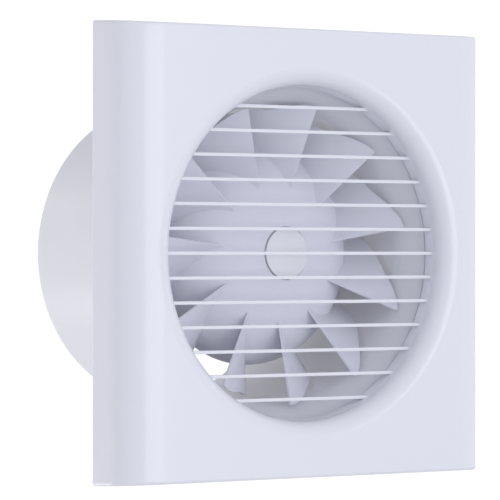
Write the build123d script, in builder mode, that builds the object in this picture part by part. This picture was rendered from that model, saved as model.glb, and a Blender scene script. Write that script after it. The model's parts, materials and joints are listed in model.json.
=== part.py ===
from build123d import *
from math import cos, degrees, pi, radians, sin, sqrt, tan
import os

# Wall-mounted bathroom extractor fan for a standard 100 mm duct, in millimetres.
# The origin is on the fan's axis in the plane of the wall.  +Z is up, -Y points into
# the room and +Y into the duct.  Angles are measured about the axis as seen from the
# room, from +X towards +Z.

# ---- Driving dimensions ---------------------------------------------------------
# Front cover
COVER_WIDTH = 143.0          # across the flat sides
COVER_HEIGHT = 142.0         # top to bottom at the front face
COVER_DEPTH = 19.0           # wall to front face
COVER_DRAFT = 1.0            # how much the top and bottom edges grow towards the wall
COVER_WALL = 2.2
COVER_WALL_GAP = 0.5         # rear edge to the wall
SIDE_BLEND_X = 14.0          # convex blend between the face and each side
SIDE_BLEND_Y = 9.0
CORNER_ROUND = 0.9
INLET_R = 53.3               # inlet sleeve, where the bars cross it
INLET_ROUND = 5.5            # rounded lip of the inlet
SLEEVE_TAPER = 0.7
SLEEVE_END = 9.4             # rear edge of the sleeve, in front of the wall
SLEEVE_WALL = 1.6
BAR_COUNT = 13
BAR_PITCH = 7.73
BAR_HEIGHT = 1.05
BAR_DEPTH = 2.0
BAR_FRONT = 12.4             # front of the bars, in front of the wall

# Back plate, a tray with a rim
PEG_R = 2.2                  # pegs of the cover and their sockets
PEG_Z = 25.0                 # pegs above and below the axis
PEG_END_GAP = 1.0            # rear ends in front of the tray's floor
PEG_ROOT = 0.1               # how far the pegs run into the cover's front wall
SOCKET_LENGTH = 6.0
SOCKET_WALL = 1.5
PLATE_GAP = 0.7              # round the tray, inside the cover
PLATE_WALL = 2.0
TRAY_RIM = 8.0               # front edge of the rim, in front of the wall
TRAY_FLOOR = 4.0             # front face of the floor, in front of the wall
RIM_WIDTH = 2.2
WALL_HOLE_SPACING = 124.0
WALL_HOLE_R = 2.3
WALL_BOSS_R = 5.0

# Duct tube: bellmouth, flange and spigot in one
SPIGOT_R = 49.75
SPIGOT_LENGTH = 66.5
SPIGOT_WALL = 1.6
SPIGOT_CHAMFER = 0.6
PLATE_BORE_GAP = 0.35        # round the tube in the back plate
BELL_R = 52.9                # mouth of the bellmouth
BELL_FRONT = 8.8             # its front edge, in front of the wall
BELL_THROAT = 4.0            # where it meets the straight bore, behind the wall
COLLAR_R = 52.0              # thicker stretch that passes through the back plate
COLLAR_LENGTH = 9.5          # how far it reaches behind the wall plane
FLANGE_R = 57.0
FLANGE_THICK = 1.8
EAR_CIRCLE_R = 60.0
EAR_R = 4.2
LEAD_ANGLE = 225.0           # groove for the motor leads
GROOVE_WIDTH = 4.6
GROOVE_DEPTH = 1.8
GROOVE_WALL = 1.1            # between the groove and the bore
GROOVE_STEP_START = 4.5      # where the groove steps in from the collar to the spigot
LEAD_HOLE = 5.0              # length of the hole that lets the leads into the bore
LEAD_SLOT_END = 67.0         # outer end of the slot in the back plate

# Impeller
BLADE_COUNT = 11
BLADE_ANGLE = 75.4           # leading edge of the first blade
BLADE_THICK = 1.3
BLADE_WRAP = 32.0            # turn from leading to trailing edge
LEAD_TIP_Y = -4.6            # leading edge at the tip radius
LEAD_ROOT_R = 20.0
LEAD_ROOT_Y = 1.2
BLADE_DEPTH = 25.0           # leading to trailing edge, along the axis
TIP_GAP = 0.75               # to the narrowest wall beside the tips
HUB_R = 36.0
HUB_REAR = 19.5
HUB_WALL = 1.6
CAP_R = 8.2
CAP_FACE = 5.0               # front of the hub cap, in front of the wall
CAP_GAP = 0.35
CAP_CROWN = 0.5
CLIP_R = 3.9                 # retaining clip on the shaft
CLIP_THICK = 0.8
CLIP_SLOT = 1.4
CLIP_SEAT = 1.6              # seat of the clip behind the shaft's front end
BOSS_R = 5.5
BOSS_REAR = 8.2

# Motor
SHAFT_R = 2.0
SHAFT_FRONT = -2.2
SHAFT_REAR = 46.8
SHAFT_FIT = 0.02
STATOR_R = 25.0
STACK_FRONT = 20.0
STACK_LENGTH = 16.0
YOKE = 3.8
POLE_COUNT = 4
POLE_ANGLE = 45.0
POLE_WIDTH = 8.0
POLE_SHOE = 2.1
ROTOR_R = 12.0
AIR_GAP = 0.3
BEARING_R = 6.5
BEARING_WIDTH = 5.0
BEARING_FRONT = 10.0         # front face of the front bearing
BEARING_REAR = 41.0          # front face of the rear bearing
RACE_THICK = 1.15
BALL_COUNT = 7
BALL_GAP = 0.04
BRACKET_WALL = 1.6
BOLT_R = 1.0
ROTOR_BARS = 14
ROTOR_BAR_R = 1.0
END_RING = 2.0
END_RING_STEP = 0.4          # end rings inside the rotor's edge
END_RING_DEPTH = 4.2
SLOT_MOUTH = 2.6
COIL_HALF_WIDTH = 8.0
COIL_BUILD = 2.9             # depth of the winding over the stack's ends
BOBBIN_WALL = 0.8
FRONT_PLATE_Y = 14.0         # stator side of the front end bracket
REAR_PLATE_Y = 42.0
BRACKET_WINDOW_CIRCLE_R = 16.5
BRACKET_WINDOW_R = 5.0
BRACKET_POST = 7.0
NUT_HEIGHT = 1.6
BOLT_END = 0.4               # bolt beyond its nut
FOOT_THICK = 2.0
FOOT_LENGTH = 7.0
CUP_VENT_R = 6.0
CUP_SLOT_LENGTH = 11.0
CUP_SLOT_WIDTH = 3.2

# Motor cup and its arms
CUP_R = 29.5
CUP_WALL = 2.0
CUP_FRONT = 16.0
CUP_REAR = 52.0
ARM_COUNT = 3
ARM_WIDTH = 6.4
ARM_WALL = 1.2
ARM_FRONT = 35.6
ARM_REAR = 43.0
ARM_BOSS_R = 3.4
ARM_BOSS_LENGTH = 8.0
MOUNT_R = 4.0                # rubber mounts
MOUNT_CIRCLE_R = 15.0
MOUNT_WAIST = 0.8            # depth of the groove round each mount
MOUNT_WAIST_LENGTH = 2.0

# Electrical parts in the tray
BLOCK_X = -44.0
BLOCK_Z = -58.8
BLOCK_LENGTH = 22.0
BLOCK_WIDTH = 13.0
BLOCK_HEIGHT = 9.0
BLOCK_SINK = 3.5             # depth of the fixing screw's head below the block's face
POLE_PITCH = 11.0
ENTRY_X = 50.0
ENTRY_Z = -57.0
ENTRY_R = 3.6                # passage through the cable grommet
GROMMET_WALL = 1.4
GROMMET_RIM = 3.0            # width of its flange round the passage
GROMMET_FLANGE = 1.5
GROMMET_END_GAP = 0.2        # short of the wall
CLAMP_SCREW_SPACING = 9.6
CLAMP_WIDTH = 5.0
CLAMP_THICK = 2.6
CLAMP_RISE = 5.4             # floor of the tray to the underside of the clamp
LID_THICK = 1.4
LID_FRONT = 14.9             # front of the wiring cover, in front of the wall
LEAD_R = 0.8
LEAD_SPACING = 2.2
LEAD_BENDS = [1.6, 1.8, 2.2, 2.6, 2.6, 2.6, 2.9]
TERMINAL_WIDTH = 5.0
TERMINAL_LENGTH = 10.0
TERMINAL_RISE = 3.5          # floor of the tray to the centre of the terminals
TERMINAL_SCREW_OFFSET = 2.9
TERMINAL_BORE_R = 1.1
TERMINAL_SCREW_R = 1.1
LID_GAP = 1.3
LID_SIDE = 1.1
LID_LIFT = 0.1               # rim of the wiring cover above the floor
LID_POST_R = 2.6
LEAD_NOTCH_GAP = 0.7         # round each lead where it leaves the wiring cover
SMALL_SCREW_R = 1.25
SMALL_HEAD_R = 2.2
SMALL_HEAD_HEIGHT = 1.3
SCREW_TIP_GAP = 0.4          # screw tips stop short of the wall side of the floor
TUBE_SCREW_R = 1.5
TUBE_HEAD_R = 2.8
TUBE_HEAD_HEIGHT = 1.5
TUBE_SCREW_TIP = -0.8
CUP_HEAD_R = 2.3
CUP_HEAD_HEIGHT = 1.4
MOTOR_HEAD_R = 2.6
MOTOR_HEAD_HEIGHT = 1.6
MOTOR_SCREW_END = 0.6        # screw beyond the rear bracket
TERMINAL_HEAD_R = 1.7
TERMINAL_HEAD_LIFT = 0.6     # head above its clamp
BOLT_HEAD_R = 1.9
NUT_R = 2.2
CLEAR = 0.25                 # general fitting clearance
FIT = 0.05                   # round a screw shank or a pressed ring

# ---- Sizes that follow from them --------------------------------------------------
half_width = COVER_WIDTH / 2
half_height = COVER_HEIGHT / 2
cover_inner_x = half_width - COVER_WALL
cover_inner_z = half_height - COVER_WALL
tray_half_x = cover_inner_x - PLATE_GAP
tray_half_z = cover_inner_z - PLATE_GAP
spigot_bore_r = SPIGOT_R - SPIGOT_WALL
groove_r = SPIGOT_R - GROOVE_DEPTH
collar_groove_r = COLLAR_R - GROOVE_DEPTH
groove_step_end = GROOVE_STEP_START + 4.0
groove_wall_r = groove_r - GROOVE_WALL
tip_r = groove_wall_r - TIP_GAP
mouth_tip_r = collar_groove_r - GROOVE_WALL - 0.5
lead_y = ARM_FRONT + ARM_WALL + LEAD_R + FIT
groove_rear = lead_y + LEAD_R + CLEAR
floor_y = -TRAY_FLOOR
flange_y = floor_y - FLANGE_THICK
stack_rear = STACK_FRONT + STACK_LENGTH
stator_bore_r = ROTOR_R + AIR_GAP
rotor_bar_circle_r = ROTOR_R - 1.9
shoe_r = stator_bore_r + POLE_SHOE
yoke_r = STATOR_R - YOKE
bolt_circle_r = STATOR_R - YOKE / 2
arm_angles = [LEAD_ANGLE + 360 / ARM_COUNT * k for k in range(ARM_COUNT)]
bolt_angles = [POLE_ANGLE + 180 / POLE_COUNT + 360 / POLE_COUNT * k for k in range(POLE_COUNT)]
ear_angles = [15, 105, 195, 285]
arm_boss_circle_r = spigot_bore_r - ARM_BOSS_R + 1.0
arm_boss_turn = degrees((ARM_WIDTH / 2 + ARM_BOSS_R + CLEAR) / arm_boss_circle_r)
peg_x = (cover_inner_x + BELL_R + SLEEVE_WALL) / 2 + 1.0
lid_screw_place = (BLOCK_X + BLOCK_LENGTH / 2 + 3.5, BLOCK_Z)
clamp_x = ENTRY_X - 14.0
clamp_screw_places = [(clamp_x, ENTRY_Z + side * CLAMP_SCREW_SPACING / 2) for side in (1, -1)]
peg_places = [(sx * peg_x, sz * PEG_Z) for sx in (1, -1) for sz in (1, -1)]


def facing(y):
    """A sketch plane at depth y as seen from the room: local x is X, local y is Z."""
    return Plane(origin=(0, y, 0), x_dir=(1, 0, 0), z_dir=(0, -1, 0))


def polar(radius, angle):
    """X and Z of a point at a radius and an angle about the fan's axis."""
    return radius * cos(radians(angle)), radius * sin(radians(angle))


def ring_of_places(radius, angles):
    return [polar(radius, angle) for angle in angles]


def turned(y, angle):
    """A sketch plane at depth y whose local x points outwards at an angle about the axis."""
    x, z = polar(1, angle)
    return Plane(origin=(0, y, 0), x_dir=(x, 0, z), z_dir=(0, -1, 0))


def outward(radius, angle):
    """A sketch plane facing outwards at a radius: local x is along the circle, local y is Y."""
    x, z = polar(1, angle)
    return Plane(origin=(radius * x, 0, radius * z), x_dir=(z, 0, -x), z_dir=(x, 0, z))


def lengthwise(angle):
    """A sketch plane through the axis: local x points outwards at an angle, local y is Y."""
    x, z = polar(1, angle)
    return Plane(origin=(0, 0, 0), x_dir=(x, 0, z), z_dir=(-z, 0, x))


arm_screw_places = ring_of_places(
    arm_boss_circle_r, [angle + side * arm_boss_turn for angle in arm_angles for side in (1, -1)])
floor_screw_places = [(BLOCK_X, BLOCK_Z), lid_screw_place] + clamp_screw_places
terminal_xs = [BLOCK_X - POLE_PITCH / 2, BLOCK_X + POLE_PITCH / 2]
terminal_y = floor_y - TERMINAL_RISE
clamp_screw_spots = [(x, BLOCK_Z + side * TERMINAL_SCREW_OFFSET) for x in terminal_xs for side in (1, -1)]
block_front = floor_y - BLOCK_HEIGHT

os.makedirs("parts", exist_ok=True)


def save(builder, name):
    builder.part.label = name
    export_step(builder.part, f"parts/{name}.step")


# ---- Front cover --------------------------------------------------------------------
def cover_outline(inset):
    """Plan outline of the cover: straight sides to the wall and an elliptical blend to the face."""
    side = half_width - inset
    face = -COVER_DEPTH + inset
    shoulder = -COVER_DEPTH + SIDE_BLEND_Y
    blend_x = SIDE_BLEND_X - inset
    with BuildLine() as outline:
        Line((-side, -COVER_WALL_GAP), (-side, shoulder))
        EllipticalCenterArc((-side + blend_x, shoulder), blend_x, shoulder - face, 180, arc_size=90)
        Line((-side + blend_x, face), (side - blend_x, face))
        EllipticalCenterArc((side - blend_x, shoulder), blend_x, shoulder - face, 270, arc_size=90)
        Line((side, shoulder), (side, -COVER_WALL_GAP))
        Line((side, -COVER_WALL_GAP), (-side, -COVER_WALL_GAP))
    return outline.line


with BuildPart() as cover_cavity:
    with BuildSketch(Plane.XY):
        add(cover_outline(COVER_WALL))
        make_face()
    extrude(amount=cover_inner_z, both=True)

with BuildPart() as front_cover:
    with BuildSketch(Plane.XY):
        add(cover_outline(0))
        make_face()
    extrude(amount=half_height + COVER_DRAFT, both=True)
    # The top and bottom edges draft outwards to the wall.
    with BuildSketch(Plane.YZ):
        Polygon((-COVER_DEPTH, -half_height), (0, -half_height - COVER_DRAFT),
                (0, half_height + COVER_DRAFT), (-COVER_DEPTH, half_height), align=None)
    extrude(amount=COVER_WIDTH, both=True, mode=Mode.INTERSECT)
    corner_edges = [e for e in front_cover.edges().filter_by(GeomType.LINE)
                    if abs(e.center().X) > half_width - 0.1 and abs(e.center().Z) > half_height - 0.1]
    fillet(corner_edges, CORNER_ROUND)
    add(cover_cavity.part, mode=Mode.SUBTRACT)
    # Sleeve that leads the air from the lip to the bellmouth.
    lip_end = -COVER_DEPTH + INLET_ROUND
    sleeve_r = INLET_R - SLEEVE_TAPER
    with BuildSketch(Plane.XY):
        with BuildLine():
            Polyline((INLET_R - 2, -COVER_DEPTH + 0.4), (INLET_R - 2, -SLEEVE_END),
                     (sleeve_r + SLEEVE_WALL, -SLEEVE_END), (INLET_R + COVER_WALL, lip_end))
            CenterArc((INLET_R + INLET_ROUND, lip_end), INLET_ROUND - COVER_WALL, 180, 90)
            Polyline((INLET_R + INLET_ROUND, -COVER_DEPTH + COVER_WALL),
                     (INLET_R + INLET_ROUND, -COVER_DEPTH + 0.4), (INLET_R - 2, -COVER_DEPTH + 0.4))
        make_face()
    revolve(axis=Axis.Y)
    # Inlet with its rounded lip.
    with BuildSketch(Plane.XY):
        Polygon((0, -SLEEVE_END + 1), (0, -COVER_DEPTH - 1), (INLET_R, -COVER_DEPTH - 1),
                (INLET_R, lip_end + 0.5), (sleeve_r, -SLEEVE_END), (sleeve_r, -SLEEVE_END + 1), align=None)
    revolve(axis=Axis.Y, mode=Mode.SUBTRACT)
    front_edges = front_cover.edges().filter_by(GeomType.CIRCLE).sort_by(Axis.Y)
    fillet(front_edges[0], INLET_ROUND)
    # Horizontal grille bars across the inlet.
    with BuildSketch(facing(-BAR_FRONT + BAR_DEPTH)):
        with GridLocations(0, BAR_PITCH, 1, BAR_COUNT):
            Rectangle(2 * INLET_R + 2, BAR_HEIGHT)
        Circle(INLET_R + SLEEVE_WALL / 2, mode=Mode.INTERSECT)
    extrude(amount=BAR_DEPTH)
    # Pegs that push into the sockets of the back plate.
    with BuildSketch(facing(floor_y - PEG_END_GAP)):
        with Locations(*peg_places):
            Circle(PEG_R)
    extrude(amount=COVER_DEPTH - COVER_WALL + PEG_ROOT + floor_y - PEG_END_GAP)
save(front_cover, "front_cover")

# ---- Back plate -----------------------------------------------------------------------
with BuildPart() as back_plate:
    with BuildSketch(facing(0)):
        RectangleRounded(2 * tray_half_x, 2 * tray_half_z, 3.0)
    extrude(amount=TRAY_RIM)
    with BuildSketch(facing(floor_y)):
        RectangleRounded(2 * (tray_half_x - RIM_WIDTH), 2 * (tray_half_z - RIM_WIDTH), 2.0)
    extrude(amount=TRAY_RIM, mode=Mode.SUBTRACT)
    with BuildSketch(facing(0)):
        RectangleRounded(2 * (tray_half_x - RIM_WIDTH), 2 * (tray_half_z - RIM_WIDTH), 2.0)
    extrude(amount=TRAY_FLOOR - PLATE_WALL, mode=Mode.SUBTRACT)
    # Bosses on the wall side: wall screws, tube screws and the cable entry.
    wall_holes = GridLocations(WALL_HOLE_SPACING, WALL_HOLE_SPACING, 2, 2)
    ear_places = ring_of_places(EAR_CIRCLE_R, ear_angles)
    with BuildSketch(facing(0)):
        with wall_holes:
            Circle(WALL_BOSS_R)
        with Locations(*ear_places):
            Circle(EAR_R)
        with Locations((ENTRY_X, ENTRY_Z)):
            Circle(ENTRY_R + GROMMET_RIM + 0.4)
    extrude(amount=TRAY_FLOOR)
    # Sockets for the cover's pegs.
    with BuildSketch(facing(floor_y)):
        with Locations(*peg_places):
            Circle(PEG_R + CLEAR + SOCKET_WALL)
    extrude(amount=SOCKET_LENGTH)
    with BuildSketch(facing(floor_y)):
        with Locations(*peg_places):
            Circle(PEG_R + CLEAR)
    extrude(amount=SOCKET_LENGTH, mode=Mode.SUBTRACT)
    # Openings right through the floor.
    with BuildSketch(facing(1)):
        Circle(COLLAR_R + PLATE_BORE_GAP)
        with wall_holes:
            Circle(WALL_HOLE_R)
        with Locations((ENTRY_X, ENTRY_Z)):
            Circle(ENTRY_R + GROMMET_WALL)
        with Locations(*ear_places):
            Circle(TUBE_SCREW_R + FIT)
    extrude(amount=TRAY_RIM + 2, mode=Mode.SUBTRACT)
    # Slot that lets the motor leads pass behind the tube's flange.
    with BuildSketch(turned(0, LEAD_ANGLE)):
        with Locations(((FLANGE_R + LEAD_SLOT_END) / 2, 0)):
            Rectangle(LEAD_SLOT_END - FLANGE_R, GROOVE_WIDTH)
    extrude(amount=TRAY_FLOOR + 1, mode=Mode.SUBTRACT)
    # Screw holes for the terminal block, the cable clamp and the wiring cover.
    with BuildSketch(facing(floor_y)):
        with Locations(*floor_screw_places):
            Circle(SMALL_SCREW_R + FIT)
    extrude(amount=-PLATE_WALL - 1, mode=Mode.SUBTRACT)
save(back_plate, "back_plate")

# ---- Duct tube ---------------------------------------------------------------------------
with BuildPart() as duct_tube:
    with BuildSketch(Plane.XY):
        with BuildLine():
            Spline((BELL_R, -BELL_FRONT), (spigot_bore_r, BELL_THROAT),
                   tangents=((-0.3, 1), (0, 1)), tangent_scalars=(0.9, 1.2))
            Polyline((spigot_bore_r, BELL_THROAT), (spigot_bore_r, SPIGOT_LENGTH),
                     (SPIGOT_R - SPIGOT_CHAMFER, SPIGOT_LENGTH),
                     (SPIGOT_R, SPIGOT_LENGTH - SPIGOT_CHAMFER), (SPIGOT_R, COLLAR_LENGTH),
                     (COLLAR_R, COLLAR_LENGTH - 2), (COLLAR_R, floor_y), (FLANGE_R, floor_y),
                     (FLANGE_R, flange_y), (BELL_R + SPIGOT_WALL, flange_y),
                     (BELL_R + SPIGOT_WALL, -BELL_FRONT), (BELL_R, -BELL_FRONT))
        make_face()
    revolve(axis=Axis.Y)
    # Ears for the screws into the back plate.
    with BuildSketch(facing(floor_y)):
        for angle in ear_angles:
            x, z = polar((EAR_CIRCLE_R + BELL_R) / 2 + 1, angle)
            with Locations(Location((x, z), angle)):
                Rectangle(EAR_CIRCLE_R - BELL_R - 2, 2 * EAR_R)
        with Locations(*ear_places):
            Circle(EAR_R)
    extrude(amount=FLANGE_THICK)
    with BuildSketch(facing(floor_y + 1)):
        with Locations(*ear_places):
            Circle(TUBE_SCREW_R + FIT)
    extrude(amount=FLANGE_THICK + 2, mode=Mode.SUBTRACT)
    # Inner wall of the lead groove, then the groove itself and its hole into the bore.
    with BuildSketch(lengthwise(LEAD_ANGLE)):
        Polygon((COLLAR_R - 0.4, floor_y), (collar_groove_r - GROOVE_WALL, floor_y),
                (collar_groove_r - GROOVE_WALL, GROOVE_STEP_START), (groove_wall_r, groove_step_end),
                (groove_wall_r, groove_rear + GROOVE_WALL), (SPIGOT_R - 0.4, groove_rear + GROOVE_WALL),
                (SPIGOT_R - 0.4, GROOVE_STEP_START), (COLLAR_R - 0.4, GROOVE_STEP_START), align=None)
    extrude(amount=GROOVE_WIDTH / 2 + GROOVE_WALL, both=True)
    with BuildSketch(lengthwise(LEAD_ANGLE)):
        Polygon((COLLAR_R + 2, floor_y), (collar_groove_r, floor_y),
                (collar_groove_r, GROOVE_STEP_START), (groove_r, groove_step_end),
                (groove_r, groove_rear), (COLLAR_R + 2, groove_rear), align=None)
        Polygon((groove_r + 1, groove_rear - LEAD_HOLE), (groove_r - 5, groove_rear - LEAD_HOLE),
                (groove_r - 5, groove_rear), (groove_r + 1, groove_rear), align=None)
    extrude(amount=GROOVE_WIDTH / 2, both=True, mode=Mode.SUBTRACT)
    # Bosses in the bore that carry the arms of the motor bracket.
    with BuildSketch(facing(ARM_REAR)):
        for angle in arm_angles:
            for side in (1, -1):
                x, z = polar(arm_boss_circle_r, angle + side * arm_boss_turn)
                with Locations((x, z)):
                    Circle(ARM_BOSS_R)
        Circle(SPIGOT_R - 0.4, mode=Mode.INTERSECT)
    extrude(amount=ARM_BOSS_LENGTH)
    with BuildSketch(facing(ARM_REAR)):
        with Locations(*arm_screw_places):
            Circle(SMALL_SCREW_R + FIT)
    extrude(amount=ARM_BOSS_LENGTH - 1, mode=Mode.SUBTRACT)
save(duct_tube, "duct_tube")

# ---- Impeller -----------------------------------------------------------------------------
def turn_at(depth):
    """How far a blade has turned, in radians, at a depth behind its leading edge."""
    share = depth / BLADE_DEPTH
    return radians(BLADE_WRAP) * (1.62 * share - 0.62 * share ** 2)


def lead_y_at(radius):
    """Depth of the leading edge at a radius."""
    share = (radius - LEAD_ROOT_R) / (mouth_tip_r - LEAD_ROOT_R)
    return LEAD_ROOT_Y + share * (LEAD_TIP_Y - LEAD_ROOT_Y)


def blade_section(radius):
    """Closed outline of a blade where a plane at this radius faces outwards."""
    middle = radians(BLADE_WRAP) / 2
    depths = [BLADE_DEPTH * k / 5 for k in range(6)]
    camber = [Vector(radius * tan(middle - turn_at(d)), lead_y_at(radius) + d) for d in depths]
    with BuildLine(mode=Mode.PRIVATE) as centre_line:
        Spline(*camber)
    edge = centre_line.edges()[0]
    sides = {}
    for side in (1, -1):
        sides[side] = []
        for k in range(7):
            tangent = edge % (k / 6)
            half = BLADE_THICK / 2 * (0.55 if k in (0, 6) else 1)
            sides[side].append((edge @ (k / 6)) + Vector(-tangent.Y, tangent.X) * half * side)
    with BuildLine(mode=Mode.PRIVATE) as outline:
        Spline(*sides[1])
        Line(sides[1][-1], sides[-1][-1])
        Spline(*reversed(sides[-1]))
        Line(sides[-1][0], sides[1][0])
    return make_face(outline.edges(), mode=Mode.PRIVATE)


hub_front = -CAP_FACE + 1.0
middle_angle = BLADE_ANGLE + BLADE_WRAP / 2
root_plane_r = 12.0
tip_plane_r = mouth_tip_r + 4
with BuildPart() as blade:
    with BuildSketch(outward(root_plane_r, middle_angle)):
        add(blade_section(root_plane_r))
    with BuildSketch(outward(tip_plane_r, middle_angle)):
        add(blade_section(tip_plane_r))
    loft(ruled=True)
    # Trim to the room between the hub and the duct wall.
    with BuildSketch(Plane.XY):
        with BuildLine():
            Spline((CAP_R + 3, hub_front + 1.6), (20.0, 1.4), (29.2, 6.2), (HUB_R - 1.0, 14.5))
            Polyline((HUB_R - 1.0, 14.5), (HUB_R - 1.0, HUB_REAR), (HUB_R + 2, HUB_REAR + 1),
                     (tip_r, HUB_REAR + 1), (tip_r, GROOVE_STEP_START - 0.5),
                     (mouth_tip_r, LEAD_TIP_Y + 1.5), (mouth_tip_r, -BELL_FRONT),
                     (CAP_R + 3, -BELL_FRONT), (CAP_R + 3, hub_front + 1.6))
        make_face()
    revolve(axis=Axis.Y, mode=Mode.INTERSECT)

with BuildPart() as impeller:
    with BuildSketch(Plane.XY):
        with BuildLine():
            Polyline((0, hub_front), (CAP_R + CAP_GAP, hub_front))
            Spline((CAP_R + CAP_GAP, hub_front), (20.0, 0.3), (29.2, 5.2), (HUB_R - 0.2, 14.0),
                   (HUB_R, HUB_REAR))
            Polyline((HUB_R, HUB_REAR), (HUB_R - HUB_WALL, HUB_REAR), (HUB_R - HUB_WALL, 14.6))
            Spline((HUB_R - HUB_WALL, 14.6), (28.2, 6.7), (19.4, 2.0), (BOSS_R, 0.0))
            Polyline((BOSS_R, 0.0), (BOSS_R, BOSS_REAR), (0, BOSS_REAR), (0, hub_front))
        make_face()
    revolve(axis=Axis.Y)
    for k in range(BLADE_COUNT):
        add(blade.part.rotate(Axis.Y, 360 / BLADE_COUNT * k))
    # Recess for the hub cap and bore for the shaft.
    with BuildSketch(Plane.XY):
        Polygon((0, hub_front - 2), (CAP_R + CAP_GAP, hub_front - 2), (CAP_R + CAP_GAP, hub_front + 0.8),
                (CLIP_R + 1, hub_front + 0.8), (CLIP_R + 1, SHAFT_FRONT + CLIP_SEAT),
                (0, SHAFT_FRONT + CLIP_SEAT), align=None)
        Polygon((0, 0), (0, BOSS_REAR + 1), (SHAFT_R + SHAFT_FIT, BOSS_REAR + 1),
                (SHAFT_R + SHAFT_FIT, SHAFT_FRONT + 1.5), (0, SHAFT_FRONT + 1.5), align=None)
    revolve(axis=Axis.Y, mode=Mode.SUBTRACT)
save(impeller, "impeller")

with BuildPart() as hub_cap:
    with BuildSketch(Plane.XY):
        with BuildLine():
            Polyline((0, -CAP_FACE), (0, hub_front + 0.7), (CAP_R, hub_front + 0.7),
                     (CAP_R, -CAP_FACE + CAP_CROWN))
            TangentArc((0, -CAP_FACE), (CAP_R, -CAP_FACE + CAP_CROWN), tangent=(1, 0))
        make_face()
    revolve(axis=Axis.Y)
save(hub_cap, "hub_cap")

with BuildPart() as impeller_clip:
    with BuildSketch(facing(SHAFT_FRONT + CLIP_SEAT - FIT)):
        Circle(CLIP_R)
        Circle(SHAFT_R + SHAFT_FIT, mode=Mode.SUBTRACT)
        with Locations((0, -CLIP_R)):
            Rectangle(CLIP_SLOT, 2 * CLIP_R, mode=Mode.SUBTRACT)
    extrude(amount=CLIP_THICK)
save(impeller_clip, "impeller_clip")

# ---- Shaft and rotor --------------------------------------------------------------------------
with BuildPart() as motor_shaft:
    with BuildSketch(facing(SHAFT_FRONT)):
        Circle(SHAFT_R)
    extrude(amount=-(SHAFT_REAR - SHAFT_FRONT))
    chamfer(motor_shaft.edges().filter_by(GeomType.CIRCLE), 0.3)
save(motor_shaft, "motor_shaft")

with BuildPart() as rotor_core:
    with BuildSketch(facing(STACK_FRONT)):
        Circle(ROTOR_R)
        Circle(SHAFT_R + SHAFT_FIT, mode=Mode.SUBTRACT)
        with PolarLocations(rotor_bar_circle_r, ROTOR_BARS):
            Circle(ROTOR_BAR_R, mode=Mode.SUBTRACT)
    extrude(amount=-STACK_LENGTH)
save(rotor_core, "rotor_core")

with BuildPart() as rotor_cage:
    with BuildSketch(facing(STACK_FRONT - END_RING)):
        Circle(ROTOR_R - END_RING_STEP)
        Circle(ROTOR_R - END_RING_DEPTH, mode=Mode.SUBTRACT)
    extrude(amount=-END_RING)
    with BuildSketch(facing(stack_rear)):
        Circle(ROTOR_R - END_RING_STEP)
        Circle(ROTOR_R - END_RING_DEPTH, mode=Mode.SUBTRACT)
    extrude(amount=-END_RING)
    with BuildSketch(facing(STACK_FRONT)):
        with PolarLocations(rotor_bar_circle_r, ROTOR_BARS):
            Circle(ROTOR_BAR_R)
    extrude(amount=-STACK_LENGTH)
save(rotor_cage, "rotor_cage")

# ---- Bearings -----------------------------------------------------------------------------------
inner_race_r = SHAFT_R + RACE_THICK
outer_race_r = BEARING_R - RACE_THICK - 0.15
ball_circle_r = (inner_race_r + outer_race_r) / 2
ball_r = (outer_race_r - inner_race_r) / 2 + 0.1
bearing_fronts = [BEARING_FRONT, BEARING_REAR]

with BuildPart() as bearing_inner_rings:
    for front in bearing_fronts:
        with BuildSketch(facing(front)):
            Circle(inner_race_r)
            Circle(SHAFT_R + SHAFT_FIT, mode=Mode.SUBTRACT)
        extrude(amount=-BEARING_WIDTH)
        with BuildSketch(Plane.XY):
            with Locations((ball_circle_r, front + BEARING_WIDTH / 2)):
                Circle(ball_r + BALL_GAP)
        revolve(axis=Axis.Y, mode=Mode.SUBTRACT)
save(bearing_inner_rings, "bearing_inner_rings")

with BuildPart() as bearing_outer_rings:
    for front in bearing_fronts:
        with BuildSketch(facing(front)):
            Circle(BEARING_R)
            Circle(outer_race_r, mode=Mode.SUBTRACT)
        extrude(amount=-BEARING_WIDTH)
        with BuildSketch(Plane.XY):
            with Locations((ball_circle_r, front + BEARING_WIDTH / 2)):
                Circle(ball_r + BALL_GAP)
        revolve(axis=Axis.Y, mode=Mode.SUBTRACT)
save(bearing_outer_rings, "bearing_outer_rings")

with BuildPart() as bearing_balls:
    for front in bearing_fronts:
        for x, z in ring_of_places(ball_circle_r, [360 / BALL_COUNT * k for k in range(BALL_COUNT)]):
            with Locations((x, front + BEARING_WIDTH / 2, z)):
                Sphere(ball_r)
save(bearing_balls, "bearing_balls")

# ---- Stator ---------------------------------------------------------------------------------------
pole_angles = [POLE_ANGLE + 360 / POLE_COUNT * k for k in range(POLE_COUNT)]
bolt_places = ring_of_places(bolt_circle_r, bolt_angles)
with BuildPart() as stator_core:
    with BuildSketch(facing(STACK_FRONT)):
        Circle(STATOR_R)
        Circle(yoke_r, mode=Mode.SUBTRACT)
        for angle in pole_angles:
            with Locations(Location(polar((shoe_r + yoke_r) / 2, angle), angle)):
                Rectangle(yoke_r - shoe_r + 2, POLE_WIDTH)
        # Pole shoes, left between the slot mouths of a ring.
        with BuildSketch(facing(STACK_FRONT), mode=Mode.PRIVATE) as shoes:
            Circle(shoe_r)
            Circle(stator_bore_r, mode=Mode.SUBTRACT)
            for angle in bolt_angles:
                with Locations(Location(polar(shoe_r, angle), angle)):
                    Rectangle(3 * POLE_SHOE, SLOT_MOUTH, mode=Mode.SUBTRACT)
        add(shoes.sketch_local)
        with Locations(*bolt_places):
            Circle(BOLT_R + FIT, mode=Mode.SUBTRACT)
    extrude(amount=-STACK_LENGTH)
save(stator_core, "stator_core")

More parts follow.
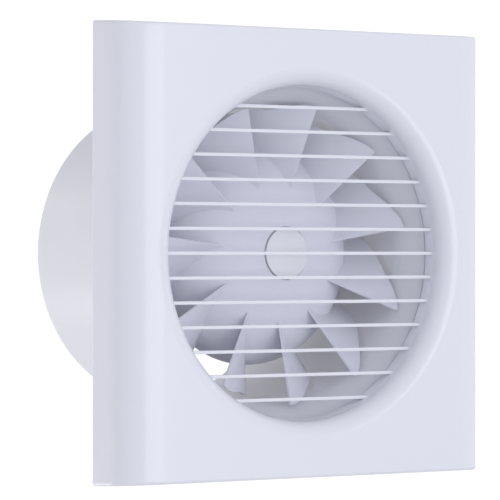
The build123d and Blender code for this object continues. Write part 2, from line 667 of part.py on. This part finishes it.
bobbin_inner = shoe_r + 0.25
bobbin_outer = sqrt((yoke_r - 0.2) ** 2 - COIL_HALF_WIDTH ** 2)
bobbin_depth = bobbin_outer - bobbin_inner
stack_middle = Location((0, STACK_FRONT + STACK_LENGTH / 2))
winding_depth = BOBBIN_WALL + COIL_BUILD

with BuildPart() as coil_bobbins:
    for angle in pole_angles:
        with BuildSketch(outward(bobbin_inner, angle)):
            with Locations(stack_middle):
                Rectangle(2 * COIL_HALF_WIDTH, STACK_LENGTH + 2 * (winding_depth + FIT))
        extrude(amount=bobbin_depth)
        # Channel for the winding, left round the bobbin's core.
        with BuildSketch(outward(bobbin_inner + BOBBIN_WALL, angle)):
            with Locations(stack_middle):
                Rectangle(2 * COIL_HALF_WIDTH + 2, STACK_LENGTH + 2 * winding_depth + 2)
                Rectangle(POLE_WIDTH + 2 * (FIT + BOBBIN_WALL), STACK_LENGTH + 2 * (FIT + BOBBIN_WALL),
                          mode=Mode.SUBTRACT)
        extrude(amount=bobbin_depth - 2 * BOBBIN_WALL, mode=Mode.SUBTRACT)
        with BuildSketch(outward(bobbin_inner, angle)):
            with Locations(stack_middle):
                Rectangle(POLE_WIDTH + 2 * FIT, STACK_LENGTH + 2 * FIT)
        extrude(amount=bobbin_depth, mode=Mode.SUBTRACT)
save(coil_bobbins, "coil_bobbins")

with BuildPart() as stator_coils:
    for angle in pole_angles:
        with BuildSketch(outward(bobbin_inner + BOBBIN_WALL + FIT, angle)):
            with Locations(stack_middle):
                RectangleRounded(2 * COIL_HALF_WIDTH - 0.6, STACK_LENGTH + 2 * winding_depth, 2.0)
                Rectangle(POLE_WIDTH + 2 * (2 * FIT + BOBBIN_WALL),
                          STACK_LENGTH + 2 * (2 * FIT + BOBBIN_WALL), mode=Mode.SUBTRACT)
        extrude(amount=bobbin_depth - 2 * (BOBBIN_WALL + FIT))
save(stator_coils, "stator_coils")


# ---- Motor end brackets ----------------------------------------------------------------------------
def end_bracket(seat_y, plate_y, bearing_y):
    """A spider that clamps one end of the stator and holds a bearing."""
    outwards = 1 if plate_y > seat_y else -1
    with BuildPart() as bracket:
        with BuildSketch(facing(plate_y)):
            Circle(STATOR_R)
            with PolarLocations(BRACKET_WINDOW_CIRCLE_R, POLE_COUNT, start_angle=POLE_ANGLE):
                Circle(BRACKET_WINDOW_R, mode=Mode.SUBTRACT)
        extrude(amount=-outwards * BRACKET_WALL)
        with BuildSketch(facing(bearing_y)):
            Circle(BEARING_R + BRACKET_WALL)
        extrude(amount=-BEARING_WIDTH)
        with BuildSketch(facing(bearing_y - 2)):
            Circle(BEARING_R + SHAFT_FIT)
        extrude(amount=-BEARING_WIDTH - 4, mode=Mode.SUBTRACT)
        # Posts that stand on the stator, one round each bolt.
        with BuildSketch(facing(seat_y)):
            for angle in bolt_angles:
                with Locations(Location(polar(bolt_circle_r, angle), angle)):
                    Rectangle(2 * YOKE, BRACKET_POST)
            Circle(STATOR_R, mode=Mode.INTERSECT)
            Circle(yoke_r + 0.3, mode=Mode.SUBTRACT)
        extrude(amount=seat_y - plate_y)
        with BuildSketch(facing(min(seat_y, plate_y) - 2 * BRACKET_WALL)):
            with Locations(*bolt_places):
                Circle(BOLT_R + FIT)
        extrude(amount=-abs(seat_y - plate_y) - 4 * BRACKET_WALL, mode=Mode.SUBTRACT)
    return bracket


mount_places = ring_of_places(MOUNT_CIRCLE_R, bolt_angles)
front_bracket_face = FRONT_PLATE_Y - BRACKET_WALL
rear_bracket_face = REAR_PLATE_Y + BRACKET_WALL
save(end_bracket(STACK_FRONT, FRONT_PLATE_Y, BEARING_FRONT), "motor_front_bracket")

plain_rear_bracket = end_bracket(stack_rear, REAR_PLATE_Y, BEARING_REAR)
with BuildPart() as motor_rear_bracket:
    add(plain_rear_bracket.part)
    with BuildSketch(facing(REAR_PLATE_Y - 1)):
        with Locations(*mount_places):
            Circle(SMALL_SCREW_R + FIT)
    extrude(amount=-BRACKET_WALL - 2, mode=Mode.SUBTRACT)
save(motor_rear_bracket, "motor_rear_bracket")


def screws(places, head_y, tip_y, shank_r, head_r, head_height, slot=True):
    """Screws along Y: head_y is the underside of the head, and the tip lies behind it."""
    direction = 1 if tip_y > head_y else -1
    with BuildPart() as group:
        with BuildSketch(facing(head_y)):
            with Locations(*places):
                Circle(shank_r)
        extrude(amount=head_y - tip_y)
        with BuildSketch(facing(head_y)):
            with Locations(*places):
                Circle(head_r)
        extrude(amount=direction * head_height)
        if slot:
            with BuildSketch(facing(head_y - direction * head_height)):
                with Locations(*places):
                    Rectangle(1.3 * head_r, 0.25 * head_r)
                    Rectangle(0.25 * head_r, 1.3 * head_r)
            extrude(amount=-direction * 0.5 * head_height, mode=Mode.SUBTRACT)
    return group


save(screws(bolt_places, front_bracket_face, rear_bracket_face + NUT_HEIGHT + BOLT_END, BOLT_R, BOLT_HEAD_R,
            SMALL_HEAD_HEIGHT),
     "motor_bolts")
with BuildPart() as motor_nuts:
    with BuildSketch(facing(rear_bracket_face)):
        with Locations(*bolt_places):
            RegularPolygon(NUT_R, 6)
            Circle(BOLT_R + FIT, mode=Mode.SUBTRACT)
    extrude(amount=-NUT_HEIGHT)
save(motor_nuts, "motor_nuts")

# ---- Motor cup with its three arms ---------------------------------------------------------------
arm_end_r = groove_wall_r - CLEAR
foot_half_width = ARM_WIDTH / 2 + 2 * ARM_BOSS_R + CLEAR
with BuildPart() as motor_cup:
    with BuildSketch(facing(CUP_FRONT)):
        Circle(CUP_R)
    extrude(amount=-(CUP_REAR - CUP_FRONT))
    with BuildSketch(facing(CUP_FRONT)):
        Circle(CUP_R - CUP_WALL)
    extrude(amount=-(CUP_REAR - CUP_FRONT - CUP_WALL), mode=Mode.SUBTRACT)
    fillet(motor_cup.faces().sort_by(Axis.Y)[-1].edges(), CUP_WALL * 0.8)
    for angle in arm_angles:
        with BuildSketch(turned(ARM_FRONT, angle)):
            with Locations(((CUP_R - 1 + arm_end_r) / 2, 0)):
                Rectangle(arm_end_r - CUP_R + 1, ARM_WIDTH)
            Circle(arm_end_r, mode=Mode.INTERSECT)
        extrude(amount=-(ARM_REAR - ARM_FRONT))
        with BuildSketch(turned(ARM_REAR, angle)):
            with Locations((spigot_bore_r - CLEAR - FOOT_LENGTH / 2, 0)):
                Rectangle(FOOT_LENGTH, 2 * foot_half_width)
            Circle(spigot_bore_r - CLEAR, mode=Mode.INTERSECT)
        extrude(amount=-FOOT_THICK)
        # Trough along the arm.
        with BuildSketch(turned(ARM_FRONT + ARM_WALL, angle)):
            with Locations(((CUP_R + spigot_bore_r) / 2 + 1, 0)):
                Rectangle(spigot_bore_r - CUP_R + 2, ARM_WIDTH - 2 * ARM_WALL)
        extrude(amount=-(ARM_REAR - ARM_FRONT - ARM_WALL), mode=Mode.SUBTRACT)
    # Way in for the leads at the outer end of one arm and through the cup's wall.
    with BuildSketch(turned(ARM_FRONT - 1, LEAD_ANGLE)):
        with Locations((spigot_bore_r - LEAD_HOLE / 2, 0)):
            Rectangle(LEAD_HOLE, ARM_WIDTH - 2 * ARM_WALL)
    extrude(amount=-ARM_WALL - 2, mode=Mode.SUBTRACT)
    with BuildSketch(turned(lead_y - 1.3, LEAD_ANGLE)):
        with Locations((CUP_R - CUP_WALL / 2, 0)):
            Rectangle(2 * CUP_WALL, ARM_WIDTH - 2 * ARM_WALL)
    extrude(amount=-2.6, mode=Mode.SUBTRACT)
    # Screw holes, then vents in the rear wall.
    with BuildSketch(facing(ARM_REAR - 1)):
        with Locations(*arm_screw_places):
            Circle(SMALL_SCREW_R + FIT)
    extrude(amount=-FOOT_THICK - 2, mode=Mode.SUBTRACT)
    with BuildSketch(facing(CUP_REAR - CUP_WALL - 1)):
        with Locations(*mount_places):
            Circle(SMALL_SCREW_R + FIT)
        Circle(CUP_VENT_R)
        for angle in pole_angles:
            with Locations(Location(polar(MOUNT_CIRCLE_R + 2, angle), angle)):
                SlotOverall(CUP_SLOT_LENGTH, CUP_SLOT_WIDTH)
    extrude(amount=-CUP_WALL - 2, mode=Mode.SUBTRACT)
save(motor_cup, "motor_cup")

save(screws(arm_screw_places, ARM_REAR + FOOT_THICK, ARM_REAR - ARM_BOSS_LENGTH + 2, SMALL_SCREW_R,
            CUP_HEAD_R, CUP_HEAD_HEIGHT), "cup_screws")
save(screws(ear_places, flange_y, TUBE_SCREW_TIP, TUBE_SCREW_R, TUBE_HEAD_R, TUBE_HEAD_HEIGHT), "tube_screws")

with BuildPart() as motor_mounts:
    with BuildSketch(facing(rear_bracket_face)):
        with Locations(*mount_places):
            Circle(MOUNT_R)
            Circle(SMALL_SCREW_R + FIT, mode=Mode.SUBTRACT)
    extrude(amount=-(CUP_REAR - CUP_WALL - rear_bracket_face))
    with BuildSketch(facing((rear_bracket_face + CUP_REAR - CUP_WALL + MOUNT_WAIST_LENGTH) / 2)):
        with Locations(*mount_places):
            Circle(MOUNT_R + 1)
            Circle(MOUNT_R - MOUNT_WAIST, mode=Mode.SUBTRACT)
    extrude(amount=MOUNT_WAIST_LENGTH, mode=Mode.SUBTRACT)
save(motor_mounts, "motor_mounts")
save(screws(mount_places, CUP_REAR, REAR_PLATE_Y - MOTOR_SCREW_END, SMALL_SCREW_R, MOTOR_HEAD_R,
            MOTOR_HEAD_HEIGHT), "motor_screws")

# ---- Terminal block, cable clamp and wiring cover -------------------------------------------------
with BuildPart() as terminal_block:
    with BuildSketch(facing(floor_y)):
        with Locations((BLOCK_X, BLOCK_Z)):
            RectangleRounded(BLOCK_LENGTH, BLOCK_WIDTH, 0.8)
            Circle(SMALL_SCREW_R + FIT, mode=Mode.SUBTRACT)
    extrude(amount=BLOCK_HEIGHT)
    with BuildSketch(facing(block_front)):
        with Locations((BLOCK_X, BLOCK_Z)):
            Circle(SMALL_HEAD_R + CLEAR + FIT)
    extrude(amount=-BLOCK_SINK, mode=Mode.SUBTRACT)
    with BuildSketch(facing(block_front)):
        for x in terminal_xs:
            with Locations((x, BLOCK_Z)):
                Rectangle(TERMINAL_WIDTH + 2 * FIT, TERMINAL_LENGTH + 2 * FIT)
    extrude(amount=-(terminal_y + TERMINAL_WIDTH / 2 + FIT - block_front), mode=Mode.SUBTRACT)
    with BuildSketch(Plane.XY.offset(BLOCK_Z - BLOCK_WIDTH)):
        with Locations(*[(x, terminal_y) for x in terminal_xs]):
            Circle(TERMINAL_BORE_R + 0.1)
    extrude(amount=2 * BLOCK_WIDTH, mode=Mode.SUBTRACT)
save(terminal_block, "terminal_block")

with BuildPart() as terminal_clamps:
    with BuildSketch(Plane.XY.offset(BLOCK_Z - TERMINAL_LENGTH / 2)):
        with Locations(*[(x, terminal_y) for x in terminal_xs]):
            RectangleRounded(TERMINAL_WIDTH, TERMINAL_WIDTH, 0.6)
            Circle(TERMINAL_BORE_R, mode=Mode.SUBTRACT)
    extrude(amount=TERMINAL_LENGTH)
    with BuildSketch(facing(terminal_y)):
        with Locations(*clamp_screw_spots):
            Circle(TERMINAL_SCREW_R + FIT)
    extrude(amount=TERMINAL_WIDTH, mode=Mode.SUBTRACT)
save(terminal_clamps, "terminal_clamps")
save(screws(clamp_screw_spots, terminal_y - TERMINAL_WIDTH / 2 - TERMINAL_HEAD_LIFT,
            terminal_y - LEAD_R - SHAFT_FIT, TERMINAL_SCREW_R, TERMINAL_HEAD_R, SMALL_HEAD_HEIGHT),
     "terminal_screws")
save(screws([(BLOCK_X, BLOCK_Z)], block_front + BLOCK_SINK, floor_y + PLATE_WALL - SCREW_TIP_GAP,
            SMALL_SCREW_R, SMALL_HEAD_R, SMALL_HEAD_HEIGHT), "block_screw")

with BuildPart() as cable_clamp:
    with BuildSketch(facing(floor_y - CLAMP_RISE)):
        with Locations((clamp_x, ENTRY_Z)):
            RectangleRounded(CLAMP_WIDTH, CLAMP_SCREW_SPACING + CLAMP_WIDTH, 2.0)
    extrude(amount=CLAMP_THICK)
    with BuildSketch(facing(floor_y)):
        with Locations(*clamp_screw_places):
            Circle(CLAMP_WIDTH / 2 - 0.1)
    extrude(amount=CLAMP_RISE + 0.5)
    with BuildSketch(facing(floor_y + 1)):
        with Locations(*clamp_screw_places):
            Circle(SMALL_SCREW_R + FIT)
    extrude(amount=CLAMP_RISE + CLAMP_THICK + 2, mode=Mode.SUBTRACT)
save(cable_clamp, "cable_clamp")
save(screws(clamp_screw_places, floor_y - CLAMP_RISE - CLAMP_THICK, floor_y + PLATE_WALL - SCREW_TIP_GAP,
            SMALL_SCREW_R, SMALL_HEAD_R, SMALL_HEAD_HEIGHT), "clamp_screws")

with BuildPart() as cable_grommet:
    with BuildSketch(facing(floor_y)):
        with Locations((ENTRY_X, ENTRY_Z)):
            Circle(ENTRY_R + GROMMET_RIM)
    extrude(amount=GROMMET_FLANGE)
    with BuildSketch(facing(floor_y)):
        with Locations((ENTRY_X, ENTRY_Z)):
            Circle(ENTRY_R + GROMMET_WALL - FIT)
    extrude(amount=-TRAY_FLOOR + GROMMET_END_GAP)
    with BuildSketch(facing(1)):
        with Locations((ENTRY_X, ENTRY_Z)):
            Circle(ENTRY_R)
    extrude(amount=TRAY_RIM, mode=Mode.SUBTRACT)
save(cable_grommet, "cable_grommet")

lid_low_x = BLOCK_X - BLOCK_LENGTH / 2 - LID_GAP
lid_high_x = lid_screw_place[0] + 4.0
lid_low_z = BLOCK_Z - BLOCK_WIDTH / 2 - 0.5
lid_high_z = BLOCK_Z + BLOCK_WIDTH / 2 + LID_GAP
lid_centre = ((lid_low_x + lid_high_x) / 2, (lid_low_z + lid_high_z) / 2)
lid_size = (lid_high_x - lid_low_x, lid_high_z - lid_low_z)
lid_inner_y = -LID_FRONT + LID_THICK
with BuildPart() as wiring_cover:
    with BuildSketch(facing(floor_y - LID_LIFT)):
        with Locations(lid_centre):
            RectangleRounded(*lid_size, 1.5)
    extrude(amount=LID_FRONT + floor_y - LID_LIFT)
    with BuildSketch(facing(floor_y)):
        with Locations(lid_centre):
            Rectangle(lid_size[0] - 2 * LID_SIDE, lid_size[1] - 2 * LID_SIDE)
        with Locations((lid_centre[0], lid_low_z)):
            Rectangle(lid_size[0] - 2 * LID_SIDE, 2 * LID_SIDE)
    extrude(amount=floor_y - lid_inner_y, mode=Mode.SUBTRACT)
    # Post for the lid's screw, and notches for the leads.
    with BuildSketch(facing(floor_y - LID_LIFT)):
        with Locations(lid_screw_place):
            Circle(LID_POST_R)
    extrude(amount=floor_y - LID_LIFT - lid_inner_y)
    with BuildSketch(facing(floor_y + 1)):
        with Locations(lid_screw_place):
            Circle(SMALL_SCREW_R + FIT)
    extrude(amount=LID_FRONT, mode=Mode.SUBTRACT)
    with BuildSketch(facing(floor_y)):
        with Locations(*[(x, lid_high_z) for x in terminal_xs]):
            Rectangle(2 * (LEAD_R + LEAD_NOTCH_GAP), 4 * LID_SIDE)
    extrude(amount=floor_y - terminal_y + LEAD_R + LEAD_NOTCH_GAP, mode=Mode.SUBTRACT)
save(wiring_cover, "wiring_cover")
save(screws([lid_screw_place], -LID_FRONT, floor_y + PLATE_WALL - SCREW_TIP_GAP, SMALL_SCREW_R,
            SMALL_HEAD_R, SMALL_HEAD_HEIGHT), "lid_screw")

# ---- Motor leads, clipped along the groove of the duct tube and one arm ------------------------------
tangent_x, tangent_z = polar(1, LEAD_ANGLE + 90)


def lead(side, terminal_x):
    """One lead from its terminal, behind the flange, along the groove and arm to the windings."""
    def beside(radius, y):
        x, z = polar(radius, LEAD_ANGLE)
        return (x + side * LEAD_SPACING / 2 * tangent_x, y, z + side * LEAD_SPACING / 2 * tangent_z)

    collar_lead_r = collar_groove_r + LEAD_R + FIT
    spigot_lead_r = groove_r + LEAD_R + FIT
    behind_floor_y = -LEAD_R - 0.35
    route = [(terminal_x, terminal_y, BLOCK_Z + 1.5), (terminal_x, terminal_y, lid_high_z + 1.5),
             beside(LEAD_SLOT_END - 2.0, floor_y - 1.5), beside(LEAD_SLOT_END - 5.5, behind_floor_y),
             beside(collar_lead_r, behind_floor_y), beside(collar_lead_r, GROOVE_STEP_START + 0.7),
             beside(spigot_lead_r, groove_step_end + 0.7), beside(spigot_lead_r, lead_y),
             beside(bobbin_outer, lead_y)]
    with BuildPart() as cable:
        with BuildLine() as path:
            FilletPolyline(*route, radius=LEAD_BENDS)
        with BuildSketch(Plane(origin=route[0], z_dir=(0, 0, 1))):
            Circle(LEAD_R)
        sweep(path=path.wires()[0])
    section_times_length = pi * LEAD_R ** 2 * path.wires()[0].length
    print("lead length", round(path.wires()[0].length, 1), "volume over section times length",
          round(cable.part.volume / section_times_length, 4))
    return cable


tangent_side = 1 if tangent_x > 0 else -1
save(lead(-tangent_side, terminal_xs[0]), "live_lead")
save(lead(tangent_side, terminal_xs[1]), "neutral_lead")
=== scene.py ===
import json
from math import cos, pi, radians, sin, sqrt

import bpy
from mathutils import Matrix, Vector


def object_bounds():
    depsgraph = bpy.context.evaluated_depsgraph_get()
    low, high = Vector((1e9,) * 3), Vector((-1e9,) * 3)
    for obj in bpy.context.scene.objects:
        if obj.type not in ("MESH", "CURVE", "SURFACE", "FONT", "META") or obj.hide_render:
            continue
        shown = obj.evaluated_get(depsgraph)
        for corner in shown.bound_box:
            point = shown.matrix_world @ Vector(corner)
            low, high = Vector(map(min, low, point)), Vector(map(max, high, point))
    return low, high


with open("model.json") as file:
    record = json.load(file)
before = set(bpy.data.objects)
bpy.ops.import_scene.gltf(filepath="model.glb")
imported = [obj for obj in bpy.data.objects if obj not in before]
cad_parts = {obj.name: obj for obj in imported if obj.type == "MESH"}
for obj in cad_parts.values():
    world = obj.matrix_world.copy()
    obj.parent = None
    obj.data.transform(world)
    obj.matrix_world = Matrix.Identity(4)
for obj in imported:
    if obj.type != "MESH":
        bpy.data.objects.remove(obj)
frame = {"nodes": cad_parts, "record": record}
cad_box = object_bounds()
nodes = frame["nodes"]

# ---- Camera: slightly left of straight on, level with the fan's axis -----------------------------
CAMERA_ANGLE = radians(36.14)
CAMERA_DISTANCE = 1.105
LENS = 247.8
SENSOR_WIDTH = 36.0
SHIFT = (-0.0576, 0.0065)


def make_camera():
    data = bpy.data.cameras.new("camera")
    data.lens = LENS
    data.sensor_width = SENSOR_WIDTH
    data.shift_x, data.shift_y = SHIFT
    data.clip_start = 0.01
    data.clip_end = 50.0
    camera = bpy.data.objects.new("camera", data)
    bpy.context.scene.collection.objects.link(camera)
    camera.location = (-CAMERA_DISTANCE * sin(CAMERA_ANGLE), -CAMERA_DISTANCE * cos(CAMERA_ANGLE), 0.0)
    camera.rotation_euler = (pi / 2, 0.0, -CAMERA_ANGLE)
    bpy.context.scene.camera = camera


# ---- Light ------------------------------------------------------------------------------------------
WORLD_BRIGHT = 1.22      # surroundings on the bright side
WORLD_DIM = 0.60         # and opposite
BRIGHT_SIDE = (0.25, -0.45, -0.70)
WORLD_TINT = (0.915, 0.925, 1.0)
BACKDROP = 1.05          # just over white
KEY_TINT = (0.95, 0.96, 1.0)
SIDE_TINT = (1.0, 0.985, 0.955)
DUCT_TINT = (1.0, 0.93, 0.84)
FLOOR_DROP = 0.28        # under the fan, which hangs on a wall
FLOOR_SIZE = 3.6


def make_world():
    """Pale surroundings, brightest low in front and to the right, seen as plain white."""
    world = bpy.data.worlds.new("studio")
    bpy.context.scene.world = world
    world.use_nodes = True
    tree = world.node_tree
    tree.nodes.clear()
    out = tree.nodes.new("ShaderNodeOutputWorld")
    coords = tree.nodes.new("ShaderNodeTexCoord")
    facing = tree.nodes.new("ShaderNodeVectorMath")
    facing.operation = "DOT_PRODUCT"
    facing.inputs[1].default_value = Vector(BRIGHT_SIDE).normalized()
    tree.links.new(coords.outputs["Generated"], facing.inputs[0])
    light = tree.nodes.new("ShaderNodeBackground")
    light.inputs["Color"].default_value = (*WORLD_TINT, 1.0)
    strength = ramp(tree, facing.outputs["Value"], WORLD_DIM, WORLD_BRIGHT, -1.0)
    tree.links.new(strength, light.inputs["Strength"])
    backdrop = tree.nodes.new("ShaderNodeBackground")
    backdrop.inputs["Strength"].default_value = BACKDROP
    backdrop.inputs["Color"].default_value = (1.0, 1.0, 1.0, 1.0)
    path = tree.nodes.new("ShaderNodeLightPath")
    mix = tree.nodes.new("ShaderNodeMixShader")
    tree.links.new(path.outputs["Is Camera Ray"], mix.inputs["Fac"])
    tree.links.new(light.outputs[0], mix.inputs[1])
    tree.links.new(backdrop.outputs[0], mix.inputs[2])
    tree.links.new(mix.outputs[0], out.inputs["Surface"])


def area_light(name, place, size, power, colour):
    """A soft square panel aimed at the fan."""
    data = bpy.data.lights.new(name, "AREA")
    data.shape = "SQUARE"
    data.size = size
    data.energy = power
    data.color = colour
    light = bpy.data.objects.new(name, data)
    bpy.context.scene.collection.objects.link(light)
    light.location = place
    light.rotation_euler = (-Vector(place)).to_track_quat("-Z", "Y").to_euler()
    light.visible_camera = False


def make_lights():
    area_light("key_panel", (0.4, -1.6, -0.2), 1.1, 6.0, KEY_TINT)
    area_light("left_panel", (-0.95, 0.35, 0.0), 0.5, 0.18, SIDE_TINT)
    area_light("low_panel", (-0.40, 0.40, -0.31), 0.3, 0.95, SIDE_TINT)
    area_light("duct_panel", (-0.1, 1.0, 0.1), 0.5, 3.0, DUCT_TINT)


def make_floor():
    bpy.ops.mesh.primitive_plane_add(size=FLOOR_SIZE, location=(0.0, 0.0, cad_box[0][2] - FLOOR_DROP))
    floor = bpy.context.object
    floor.name = "floor"
    material, _, shader = new_material("floor_pale")
    shader.inputs["Base Color"].default_value = (0.86, 0.86, 0.87, 1.0)
    shader.inputs["Roughness"].default_value = 0.6
    floor.data.materials.append(material)


# ---- Materials ----------------------------------------------------------------------------------------
EDGE_RADIUS = 0.00025
FINE_GRAIN = (1500.0, 0.00004)      # cells a metre and depth of a grained skin
FLOW_MARKS = (60.0, 0.0002, 0.04)   # cells a metre, depth and strength of a smooth one
LAYER_RELIEF = (0.9, 0.00012)       # strength and depth of the lines between layers
METAL_GRAIN_DEPTH = 0.00003
RUBBER_GRAIN_DEPTH = 0.00004


def new_material(name):
    material = bpy.data.materials.new(name)
    material.use_nodes = True
    tree = material.node_tree
    return material, tree, tree.nodes["Principled BSDF"]


def noise(tree, scale, detail=3.0, stretch=None):
    """Noise in object space; scale is in cells a metre."""
    coords = tree.nodes.new("ShaderNodeTexCoord")
    texture = tree.nodes.new("ShaderNodeTexNoise")
    texture.inputs["Scale"].default_value = scale
    texture.inputs["Detail"].default_value = detail
    if stretch:
        mapping = tree.nodes.new("ShaderNodeMapping")
        mapping.inputs["Scale"].default_value = stretch
        tree.links.new(coords.outputs["Object"], mapping.inputs["Vector"])
        tree.links.new(mapping.outputs["Vector"], texture.inputs["Vector"])
    else:
        tree.links.new(coords.outputs["Object"], texture.inputs["Vector"])
    return texture.outputs["Fac"]


def ramp(tree, value, low, high, start=0.0):
    node = tree.nodes.new("ShaderNodeMapRange")
    node.inputs["From Min"].default_value = start
    node.inputs["To Min"].default_value = low
    node.inputs["To Max"].default_value = high
    tree.links.new(value, node.inputs["Value"])
    return node.outputs["Result"]


def tint(tree, value, dark, light):
    node = tree.nodes.new("ShaderNodeMix")
    node.data_type = "RGBA"
    node.inputs["A"].default_value = (*dark, 1.0)
    node.inputs["B"].default_value = (*light, 1.0)
    tree.links.new(value, node.inputs["Factor"])
    return node.outputs["Result"]


def bump(tree, shader, height, strength, distance):
    """Fine relief on top of slightly rounded edges."""
    edges = tree.nodes.new("ShaderNodeBevel")
    edges.samples = 4
    edges.inputs["Radius"].default_value = EDGE_RADIUS
    node = tree.nodes.new("ShaderNodeBump")
    node.inputs["Strength"].default_value = strength
    node.inputs["Distance"].default_value = distance
    tree.links.new(edges.outputs["Normal"], node.inputs["Normal"])
    tree.links.new(height, node.inputs["Height"])
    tree.links.new(node.outputs["Normal"], shader.inputs["Normal"])


def plastic(name, light, dark, rough_low, rough_high, grain=0.0, coat=0.0):
    """Moulded plastic: slow flow marks in its colour, uneven gloss and, where grained, a fine skin."""
    material, tree, shader = new_material(name)
    tree.links.new(tint(tree, noise(tree, 22.0), dark, light), shader.inputs["Base Color"])
    tree.links.new(ramp(tree, noise(tree, 140.0), rough_low, rough_high), shader.inputs["Roughness"])
    shader.inputs["IOR"].default_value = 1.5
    shader.inputs["Subsurface Weight"].default_value = 0.08
    shader.inputs["Subsurface Radius"].default_value = (0.0012, 0.0012, 0.0014)
    shader.inputs["Subsurface Scale"].default_value = 1.0
    shader.inputs["Coat Weight"].default_value = coat
    shader.inputs["Coat Roughness"].default_value = 0.08
    if grain:
        scale, depth = FINE_GRAIN
        bump(tree, shader, noise(tree, scale, 2.0), grain, depth)
    else:
        scale, depth, strength = FLOW_MARKS
        bump(tree, shader, noise(tree, scale, 2.0), strength, depth)
    return material


def metal(name, light, dark, rough_low, rough_high, stretch=None, scale=900.0, grain=0.25, layers=None):
    """Metal with a brushed or cast grain, or built up of layers stacked along Y or away from the axis."""
    material, tree, shader = new_material(name)
    shader.inputs["Metallic"].default_value = 1.0
    tree.links.new(tint(tree, noise(tree, 260.0), dark, light), shader.inputs["Base Color"])
    tree.links.new(ramp(tree, noise(tree, scale, 3.0, stretch), rough_low, rough_high),
                   shader.inputs["Roughness"])
    if layers:
        bump(tree, shader, layer_lines(tree, *layers), *LAYER_RELIEF)
    else:
        bump(tree, shader, noise(tree, scale, 3.0, stretch), grain, METAL_GRAIN_DEPTH)
    return material


def maths(tree, operation, first, second=None):
    node = tree.nodes.new("ShaderNodeMath")
    node.operation = operation
    for socket, value in zip(node.inputs, (first, second)):
        if isinstance(value, float):
            socket.default_value = value
        elif value is not None:
            tree.links.new(value, socket)
    return node.outputs[0]


def layer_lines(tree, stack, pitch):
    """Rounded ridges: sheets stacked along Y, or turns of wire stacked outwards round each pole."""
    coords = tree.nodes.new("ShaderNodeTexCoord")
    split = tree.nodes.new("ShaderNodeSeparateXYZ")
    tree.links.new(coords.outputs["Object"], split.inputs[0])
    if stack == "sheets":
        place = split.outputs["Y"]
    else:
        across = maths(tree, "ABSOLUTE", split.outputs["X"])
        up = maths(tree, "ABSOLUTE", split.outputs["Z"])
        place = maths(tree, "MULTIPLY", maths(tree, "ADD", across, up), sqrt(0.5))
    return maths(tree, "ABSOLUTE", maths(tree, "SINE", maths(tree, "MULTIPLY", place, pi / pitch)))


def rubber(name, light, dark):
    material, tree, shader = new_material(name)
    tree.links.new(tint(tree, noise(tree, 180.0), dark, light), shader.inputs["Base Color"])
    tree.links.new(ramp(tree, noise(tree, 700.0), 0.62, 0.85), shader.inputs["Roughness"])
    bump(tree, shader, noise(tree, 2400.0), 0.35, RUBBER_GRAIN_DEPTH)
    return material


WHITE = (0.80, 0.805, 0.855)
materials = {
    "white_gloss": plastic("white_gloss", WHITE, (0.785, 0.79, 0.84), 0.16, 0.24, coat=0.25),
    "white_satin": plastic("white_satin", (0.78, 0.785, 0.82), (0.76, 0.765, 0.80), 0.26, 0.38),
    "white_impeller": plastic("white_impeller", (0.77, 0.78, 0.845), (0.75, 0.76, 0.83), 0.28, 0.40),
    "white_plate": plastic("white_plate", (0.78, 0.785, 0.81), (0.75, 0.755, 0.78), 0.36, 0.5, grain=0.2),
    "zinc_steel": metal("zinc_steel", (0.72, 0.73, 0.74), (0.58, 0.59, 0.60), 0.22, 0.42),
    "spring_steel": metal("spring_steel", (0.34, 0.34, 0.36), (0.22, 0.22, 0.24), 0.25, 0.4),
    "ground_steel": metal("ground_steel", (0.80, 0.80, 0.81), (0.68, 0.68, 0.70), 0.10, 0.22, (1, 0.05, 1)),
    "bearing_steel": metal("bearing_steel", (0.80, 0.80, 0.81), (0.70, 0.70, 0.72), 0.08, 0.16),
    "cast_alloy": metal("cast_alloy", (0.74, 0.74, 0.75), (0.60, 0.60, 0.61), 0.38, 0.6,
                        scale=600.0, grain=0.5),
    "lamination": metal("lamination", (0.42, 0.43, 0.46), (0.26, 0.27, 0.30), 0.35, 0.55,
                        layers=("sheets", 0.0005)),
    "cage_alloy": metal("cage_alloy", (0.78, 0.78, 0.79), (0.64, 0.64, 0.65), 0.35, 0.5),
    "copper_winding": metal("copper_winding", (0.72, 0.30, 0.12), (0.50, 0.18, 0.07), 0.22, 0.35,
                            layers=("turns", 0.0004)),
    "bobbin_plastic": plastic("bobbin_plastic", (0.05, 0.05, 0.055), (0.03, 0.03, 0.035), 0.4, 0.55,
                              grain=0.2),
    "terminal_plastic": plastic("terminal_plastic", (0.80, 0.79, 0.74), (0.76, 0.75, 0.70), 0.35, 0.5,
                                grain=0.2),
    "terminal_brass": metal("terminal_brass", (0.80, 0.60, 0.26), (0.66, 0.47, 0.18), 0.18, 0.32),
    "mount_rubber": rubber("mount_rubber", (0.035, 0.035, 0.038), (0.02, 0.02, 0.022)),
    "grommet_rubber": rubber("grommet_rubber", (0.62, 0.62, 0.63), (0.55, 0.55, 0.56)),
    "lead_brown": plastic("lead_brown", (0.16, 0.06, 0.025), (0.12, 0.045, 0.02), 0.3, 0.45),
    "lead_blue": plastic("lead_blue", (0.02, 0.10, 0.42), (0.015, 0.08, 0.36), 0.3, 0.45),
}


def paint_nodes():
    for part in frame["record"]["subparts"]:
        node = nodes[part["node"]]
        material = materials[part["material_slot"]]
        for slot in node.material_slots:
            slot.material = material


make_camera()
make_world()
make_lights()
make_floor()
paint_nodes()
bpy.context.scene.view_settings.view_transform = "Standard"
